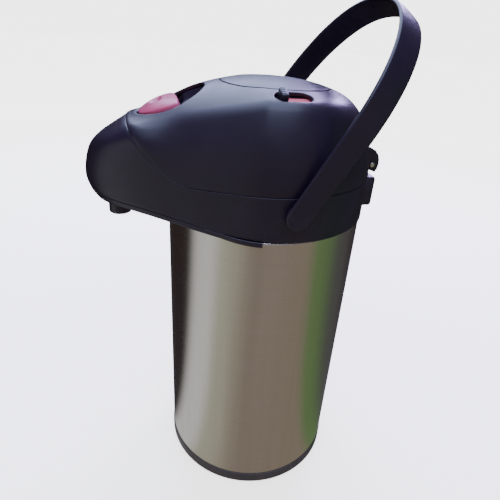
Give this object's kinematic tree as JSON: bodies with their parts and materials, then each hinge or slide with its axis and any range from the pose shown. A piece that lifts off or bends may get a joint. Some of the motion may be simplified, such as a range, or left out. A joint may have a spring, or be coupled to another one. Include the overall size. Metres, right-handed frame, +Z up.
{
  "type": "thermal coffee airpot",
  "caption": "Thermal coffee airpot with brushed steel body, pump plate, pouring nose, hinged lid, lock slider, lid release and carrying bail.",
  "frame": {"origin": "centre of the foot's flat underside, on the body axis", "axes": "+Z up along the body axis, -Y the way the nose pours, +X to the right seen from the nose side"},
  "size_m": [0.1798, 0.2397, 0.428],
  "materials": {
    "head_plastic": "satin",
    "base_plastic": "matte",
    "red_plastic": "satin gloss",
    "brushed_steel": "brushed",
    "plain_steel": "bright",
    "spring_steel": "drawn",
    "silicone": "matte",
    "bellows_rubber": "matte"
  },
  "bodies": {
    "foot": {"swivel_foot": "base_plastic", "foot_washer": "plain_steel", "foot_screw": "plain_steel"},
    "pot": {"base_cover": "base_plastic", "shell_bottom": "plain_steel", "outer_shell": "brushed_steel", "inner_flask": "plain_steel", "mouth_ring": "silicone", "dip_tube": "plain_steel", "collar": "head_plastic", "spout_cover": "head_plastic", "nozzle": "head_plastic", "discharge_pipe": "plain_steel", "hinge_bracket": "head_plastic", "hinge_pin": "plain_steel", "bracket_screw_right": "plain_steel", "bracket_screw_left": "plain_steel", "latch_catch": "head_plastic"},
    "bail": {"handle": "head_plastic", "pivot_pin_right": "plain_steel", "pivot_pin_left": "plain_steel"},
    "lid": {"lid_shell": "head_plastic", "lid_base": "head_plastic", "plug_gasket": "silicone", "air_valve": "silicone", "bellows": "bellows_rubber", "bellows_spring": "spring_steel", "slider_track": "head_plastic", "lock_indicator": "red_plastic", "button_tray": "head_plastic", "button_spring": "spring_steel"},
    "pump": {"push_plate": "head_plastic", "bellows_cap": "head_plastic"},
    "slider": {"lock_slider": "head_plastic"},
    "release": {"release_button": "red_plastic"},
    "latch": {"latch_hook": "head_plastic"}
  },
  "joints": [
    {"name": "foot_turn", "type": "hinge", "parent": "foot", "child": "pot", "pos_m": [0, 0, 0.0066], "axis": [0, 0, 1], "continuous": true},
    {"name": "bail_swing", "type": "hinge", "parent": "pot", "child": "bail", "pos_m": [0, 0, 0.2875], "axis": [1, 0, 0], "range_deg": [0, 118]},
    {"name": "lid_hinge", "type": "hinge", "parent": "pot", "child": "lid", "pos_m": [0, 0.0862, 0.304], "axis": [-1, 0, 0], "range_deg": [0, 35]},
    {"name": "pump_stroke", "type": "slide", "parent": "lid", "child": "pump", "axis": [0, 0, -1], "range_m": [0, 0.02], "stiffness_N_per_m": 400, "springref_m": -0.01, "deforming": ["bellows", "bellows_spring"]},
    {"name": "lock_slide", "type": "slide", "parent": "lid", "child": "slider", "axis": [0, 1, 0], "range_m": [0, 0.014]},
    {"name": "release_press", "type": "hinge", "parent": "lid", "child": "release", "pos_m": [0, -0.09954, 0.33811], "axis": [-1, 0, 0], "range_deg": [0, 7], "stiffness_Nm_per_rad": 0.6, "springref_deg": -5.73, "deforming": ["button_spring"]},
    {"name": "latch_swing", "type": "hinge", "parent": "lid", "child": "latch", "pos_m": [0, -0.088, 0.328], "axis": [-1, 0, 0], "range_deg": [0, 7]}
  ],
  "couplings": [
    {"joint": "latch_swing", "follows": "release_press", "ratio": 1}
  ]
}
